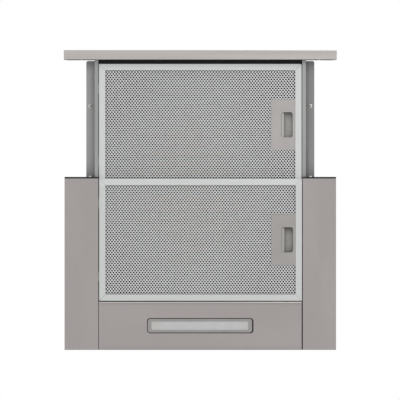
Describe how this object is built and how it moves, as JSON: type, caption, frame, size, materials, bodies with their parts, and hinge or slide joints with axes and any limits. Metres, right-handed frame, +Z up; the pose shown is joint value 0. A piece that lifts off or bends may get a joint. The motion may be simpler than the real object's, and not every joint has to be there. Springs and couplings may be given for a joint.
{
  "type": "under cabinet range hood",
  "caption": "Telescopic under cabinet range hood with pull-out visor, hinged grease filters with finger latches, lamp, blower and round duct outlet.",
  "frame": {"origin": "centre of the bottom of the hood's box with the visor pulled out", "axes": "+Z up, -Y to the front where the fascia is, +X to the right of someone facing the hood"},
  "size_m": [0.4484, 0.4926, 0.181],
  "materials": {
    "stainless": "fine brushed stainless, satin",
    "fascia_steel": "fine brushed stainless, satin",
    "galvanised": "hot dip galvanised sheet, fine spangle",
    "dark_sheet": "dark grey coated sheet",
    "filter_aluminium": "satin rolled aluminium",
    "mesh_aluminium": "expanded aluminium mesh",
    "latch_plastic": "silver grey moulded plastic",
    "black_plastic": "black moulded plastic",
    "black_rubber": "black rubber",
    "lamp_plastic": "grey moulded plastic",
    "lens_plastic": "frosted diffuser",
    "circuit_board": "solder mask green",
    "zinc_screw": "bright zinc plated",
    "spring_steel": "bright spring wire",
    "slide_steel": "zinc plated slide",
    "motor_steel": "plated motor shell",
    "shaft_steel": "ground steel",
    "white_plastic": "off white moulded plastic",
    "capacitor_shell": "smooth light grey shell",
    "button_plastic": "dark satin key caps"
  },
  "bodies": {
    "chassis": {"left_cheek_panel": "stainless", "right_cheek_panel": "stainless", "bumper_strips": "black_rubber", "left_side_wall": "galvanised", "right_side_wall": "galvanised", "back_wall": "galvanised", "top_deck": "galvanised", "lamp_panel": "stainless", "lamp_bezel": "lamp_plastic", "lamp_lens": "lens_plastic", "lamp_board": "circuit_board", "motor_housing_wrap": "galvanised", "motor_housing_lid": "galvanised", "volute_wall": "galvanised", "volute_lid": "galvanised", "outlet_partition": "galvanised", "motor_body": "motor_steel", "motor_mounts": "black_rubber", "duct_collar": "black_plastic", "control_box": "white_plastic", "control_board": "circuit_board", "capacitor": "capacitor_shell", "terminal_block": "white_plastic", "cable_gland": "black_plastic", "left_slide_outer": "slide_steel", "right_slide_outer": "slide_steel", "microswitch_body": "black_plastic"},
    "visor": {"fascia": "fascia_steel", "fascia_back_plate": "dark_sheet", "visor_front_member": "black_plastic", "button_bezel": "black_plastic", "button_board": "circuit_board", "left_visor_rail": "stainless", "right_visor_rail": "stainless", "visor_screws": "zinc_screw", "visor_top_plate": "galvanised", "left_slide_inner": "slide_steel", "right_slide_inner": "slide_steel", "front_filter_frame": "filter_aluminium", "front_filter_mesh": "mesh_aluminium", "front_latch_plate": "latch_plastic", "front_latch_spring": "spring_steel"},
    "front_latch": {"front_latch_handle": "latch_plastic"},
    "rear_filter": {"rear_filter_frame": "filter_aluminium", "rear_filter_mesh": "mesh_aluminium", "rear_latch_plate": "latch_plastic", "rear_latch_spring": "spring_steel"},
    "rear_latch": {"rear_latch_handle": "latch_plastic"},
    "left_cage": {"left_slide_cage": "slide_steel"},
    "right_cage": {"right_slide_cage": "slide_steel"},
    "fan": {"impeller": "black_plastic", "impeller_blades": "black_plastic", "motor_shaft": "shaft_steel"},
    "front_flap": {"front_damper_flap": "black_plastic"},
    "rear_flap": {"rear_damper_flap": "black_plastic"},
    "button_1": {"push_button_1": "button_plastic"},
    "button_2": {"push_button_2": "button_plastic"},
    "button_3": {"push_button_3": "button_plastic"},
    "button_4": {"push_button_4": "button_plastic"},
    "plunger": {"microswitch_plunger": "white_plastic"}
  },
  "joints": [
    {"name": "drawer_slide", "type": "slide", "parent": "chassis", "child": "visor", "axis": [0, -1, 0], "range_m": [-0.19, 0]},
    {"name": "left_cage_slide", "type": "slide", "parent": "chassis", "child": "left_cage", "axis": [0, -1, 0], "range_m": [-0.0955, 0.0005]},
    {"name": "right_cage_slide", "type": "slide", "parent": "chassis", "child": "right_cage", "axis": [0, -1, 0], "range_m": [-0.0955, 0.0005]},
    {"name": "rear_filter_swing", "type": "hinge", "parent": "chassis", "child": "rear_filter", "pos_m": [-0.1661, 0.0654, 0.0003], "axis": [0, 1, 0], "range_deg": [0, 75]},
    {"name": "front_latch_slide", "type": "slide", "parent": "visor", "child": "front_latch", "axis": [-1, 0, 0], "range_m": [0, 0.005], "stiffness_N_per_m": 200, "springref_m": -0.003, "deforming": ["front_latch_spring"]},
    {"name": "rear_latch_slide", "type": "slide", "parent": "rear_filter", "child": "rear_latch", "axis": [-1, 0, 0], "range_m": [0, 0.005], "stiffness_N_per_m": 200, "springref_m": -0.003, "deforming": ["rear_latch_spring"]},
    {"name": "fan_spin", "type": "hinge", "parent": "chassis", "child": "fan", "pos_m": [-0.015, 0.062, 0.083], "axis": [0, 0, 1], "continuous": true},
    {"name": "front_flap_swing", "type": "hinge", "parent": "chassis", "child": "front_flap", "pos_m": [0, 0.178, 0.153], "axis": [-1, 0, 0], "range_deg": [0, 80]},
    {"name": "rear_flap_swing", "type": "hinge", "parent": "chassis", "child": "rear_flap", "pos_m": [0, 0.186, 0.153], "axis": [1, 0, 0], "range_deg": [0, 80]},
    {"name": "plunger_press", "type": "slide", "parent": "chassis", "child": "plunger", "axis": [0, 1, 0], "range_m": [0, 0.002], "stiffness_N_per_m": 300, "springref_m": -0.001},
    {"name": "button_1_press", "type": "slide", "parent": "visor", "child": "button_1", "axis": [0, 1, 0], "range_m": [0, 0.0025], "stiffness_N_per_m": 400, "springref_m": -0.001},
    {"name": "button_2_press", "type": "slide", "parent": "visor", "child": "button_2", "axis": [0, 1, 0], "range_m": [0, 0.0025], "stiffness_N_per_m": 400, "springref_m": -0.001},
    {"name": "button_3_press", "type": "slide", "parent": "visor", "child": "button_3", "axis": [0, 1, 0], "range_m": [0, 0.0025], "stiffness_N_per_m": 400, "springref_m": -0.001},
    {"name": "button_4_press", "type": "slide", "parent": "visor", "child": "button_4", "axis": [0, 1, 0], "range_m": [0, 0.0025], "stiffness_N_per_m": 400, "springref_m": -0.001}
  ],
  "couplings": [
    {"joint": "left_cage_slide", "follows": "drawer_slide", "ratio": 0.5},
    {"joint": "right_cage_slide", "follows": "drawer_slide", "ratio": 0.5}
  ]
}
